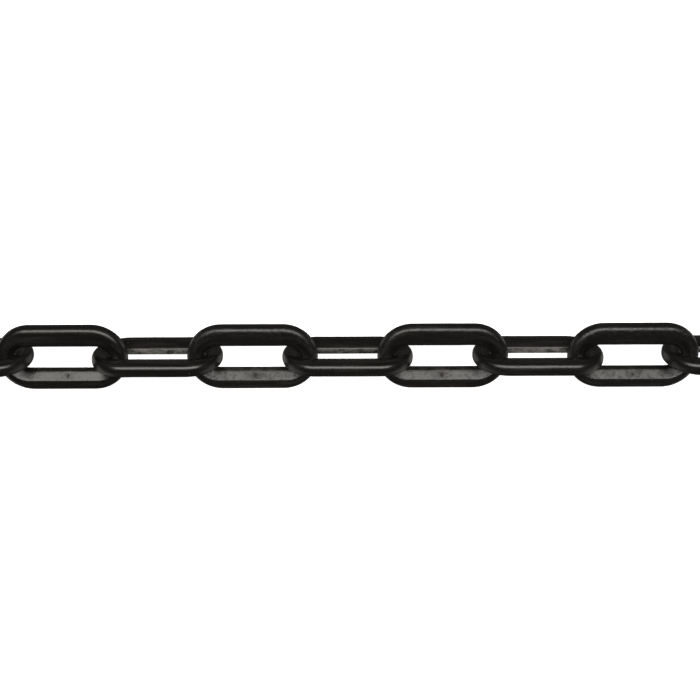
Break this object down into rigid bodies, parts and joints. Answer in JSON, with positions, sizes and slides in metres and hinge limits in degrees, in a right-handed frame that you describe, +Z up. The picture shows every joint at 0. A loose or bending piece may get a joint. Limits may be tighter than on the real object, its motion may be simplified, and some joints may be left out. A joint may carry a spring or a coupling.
{
  "type": "length of plastic chain",
  "caption": "Straight length of moulded plastic link chain, oval links crossed at right angles, each free to swing on the next.",
  "frame": {"origin": "on the floor under the middle of the length", "axes": "+X along the chain towards link_25, +Z up from the floor it lies on, +Y across it"},
  "size_m": [0.9998, 0.0228, 0.0228],
  "materials": {
    "black_plastic": "black moulded polyethylene, dull satin shine with fine scuffs and flow marks"
  },
  "bodies": {
    "link_01": {"link_01": "black_plastic"},
    "link_02": {"link_02": "black_plastic"},
    "link_03": {"link_03": "black_plastic"},
    "link_04": {"link_04": "black_plastic"},
    "link_05": {"link_05": "black_plastic"},
    "link_06": {"link_06": "black_plastic"},
    "link_07": {"link_07": "black_plastic"},
    "link_08": {"link_08": "black_plastic"},
    "link_09": {"link_09": "black_plastic"},
    "link_10": {"link_10": "black_plastic"},
    "link_11": {"link_11": "black_plastic"},
    "link_12": {"link_12": "black_plastic"},
    "link_13": {"link_13": "black_plastic"},
    "link_14": {"link_14": "black_plastic"},
    "link_15": {"link_15": "black_plastic"},
    "link_16": {"link_16": "black_plastic"},
    "link_17": {"link_17": "black_plastic"},
    "link_18": {"link_18": "black_plastic"},
    "link_19": {"link_19": "black_plastic"},
    "link_20": {"link_20": "black_plastic"},
    "link_21": {"link_21": "black_plastic"},
    "link_22": {"link_22": "black_plastic"},
    "link_23": {"link_23": "black_plastic"},
    "link_24": {"link_24": "black_plastic"},
    "link_25": {"link_25": "black_plastic"}
  },
  "joints": [
    {"name": "swing_01_02", "type": "hinge", "parent": "link_01", "child": "link_02", "pos_m": [-0.44925, 0, 0.01138], "axis": [0, -0.7071, 0.7071], "range_deg": [-120, 120]},
    {"name": "swing_02_03", "type": "hinge", "parent": "link_02", "child": "link_03", "pos_m": [-0.40985, 0, 0.01138], "axis": [0, 0.7071, 0.7071], "range_deg": [-120, 120]},
    {"name": "swing_03_04", "type": "hinge", "parent": "link_03", "child": "link_04", "pos_m": [-0.37045, 0, 0.01138], "axis": [0, 0.7071, -0.7071], "range_deg": [-120, 120]},
    {"name": "swing_04_05", "type": "hinge", "parent": "link_04", "child": "link_05", "pos_m": [-0.33105, 0, 0.01138], "axis": [0, -0.7071, -0.7071], "range_deg": [-120, 120]},
    {"name": "swing_05_06", "type": "hinge", "parent": "link_05", "child": "link_06", "pos_m": [-0.29165, 0, 0.01138], "axis": [0, -0.7071, 0.7071], "range_deg": [-120, 120]},
    {"name": "swing_06_07", "type": "hinge", "parent": "link_06", "child": "link_07", "pos_m": [-0.25225, 0, 0.01138], "axis": [0, 0.7071, 0.7071], "range_deg": [-120, 120]},
    {"name": "swing_07_08", "type": "hinge", "parent": "link_07", "child": "link_08", "pos_m": [-0.21285, 0, 0.01138], "axis": [0, 0.7071, -0.7071], "range_deg": [-120, 120]},
    {"name": "swing_08_09", "type": "hinge", "parent": "link_08", "child": "link_09", "pos_m": [-0.17345, 0, 0.01138], "axis": [0, -0.7071, -0.7071], "range_deg": [-120, 120]},
    {"name": "swing_09_10", "type": "hinge", "parent": "link_09", "child": "link_10", "pos_m": [-0.13405, 0, 0.01138], "axis": [0, -0.7071, 0.7071], "range_deg": [-120, 120]},
    {"name": "swing_10_11", "type": "hinge", "parent": "link_10", "child": "link_11", "pos_m": [-0.09465, 0, 0.01138], "axis": [0, 0.7071, 0.7071], "range_deg": [-120, 120]},
    {"name": "swing_11_12", "type": "hinge", "parent": "link_11", "child": "link_12", "pos_m": [-0.05525, 0, 0.01138], "axis": [0, 0.7071, -0.7071], "range_deg": [-120, 120]},
    {"name": "swing_12_13", "type": "hinge", "parent": "link_12", "child": "link_13", "pos_m": [-0.01585, 0, 0.01138], "axis": [0, -0.7071, -0.7071], "range_deg": [-120, 120]},
    {"name": "swing_13_14", "type": "hinge", "parent": "link_13", "child": "link_14", "pos_m": [0.02355, 0, 0.01138], "axis": [0, -0.7071, 0.7071], "range_deg": [-120, 120]},
    {"name": "swing_14_15", "type": "hinge", "parent": "link_14", "child": "link_15", "pos_m": [0.06295, 0, 0.01138], "axis": [0, 0.7071, 0.7071], "range_deg": [-120, 120]},
    {"name": "swing_15_16", "type": "hinge", "parent": "link_15", "child": "link_16", "pos_m": [0.10235, 0, 0.01138], "axis": [0, 0.7071, -0.7071], "range_deg": [-120, 120]},
    {"name": "swing_16_17", "type": "hinge", "parent": "link_16", "child": "link_17", "pos_m": [0.14175, 0, 0.01138], "axis": [0, -0.7071, -0.7071], "range_deg": [-120, 120]},
    {"name": "swing_17_18", "type": "hinge", "parent": "link_17", "child": "link_18", "pos_m": [0.18115, 0, 0.01138], "axis": [0, -0.7071, 0.7071], "range_deg": [-120, 120]},
    {"name": "swing_18_19", "type": "hinge", "parent": "link_18", "child": "link_19", "pos_m": [0.22055, 0, 0.01138], "axis": [0, 0.7071, 0.7071], "range_deg": [-120, 120]},
    {"name": "swing_19_20", "type": "hinge", "parent": "link_19", "child": "link_20", "pos_m": [0.25995, 0, 0.01138], "axis": [0, 0.7071, -0.7071], "range_deg": [-120, 120]},
    {"name": "swing_20_21", "type": "hinge", "parent": "link_20", "child": "link_21", "pos_m": [0.29935, 0, 0.01138], "axis": [0, -0.7071, -0.7071], "range_deg": [-120, 120]},
    {"name": "swing_21_22", "type": "hinge", "parent": "link_21", "child": "link_22", "pos_m": [0.33875, 0, 0.01138], "axis": [0, -0.7071, 0.7071], "range_deg": [-120, 120]},
    {"name": "swing_22_23", "type": "hinge", "parent": "link_22", "child": "link_23", "pos_m": [0.37815, 0, 0.01138], "axis": [0, 0.7071, 0.7071], "range_deg": [-120, 120]},
    {"name": "swing_23_24", "type": "hinge", "parent": "link_23", "child": "link_24", "pos_m": [0.41755, 0, 0.01138], "axis": [0, 0.7071, -0.7071], "range_deg": [-120, 120]},
    {"name": "swing_24_25", "type": "hinge", "parent": "link_24", "child": "link_25", "pos_m": [0.45695, 0, 0.01138], "axis": [0, -0.7071, -0.7071], "range_deg": [-120, 120]}
  ]
}
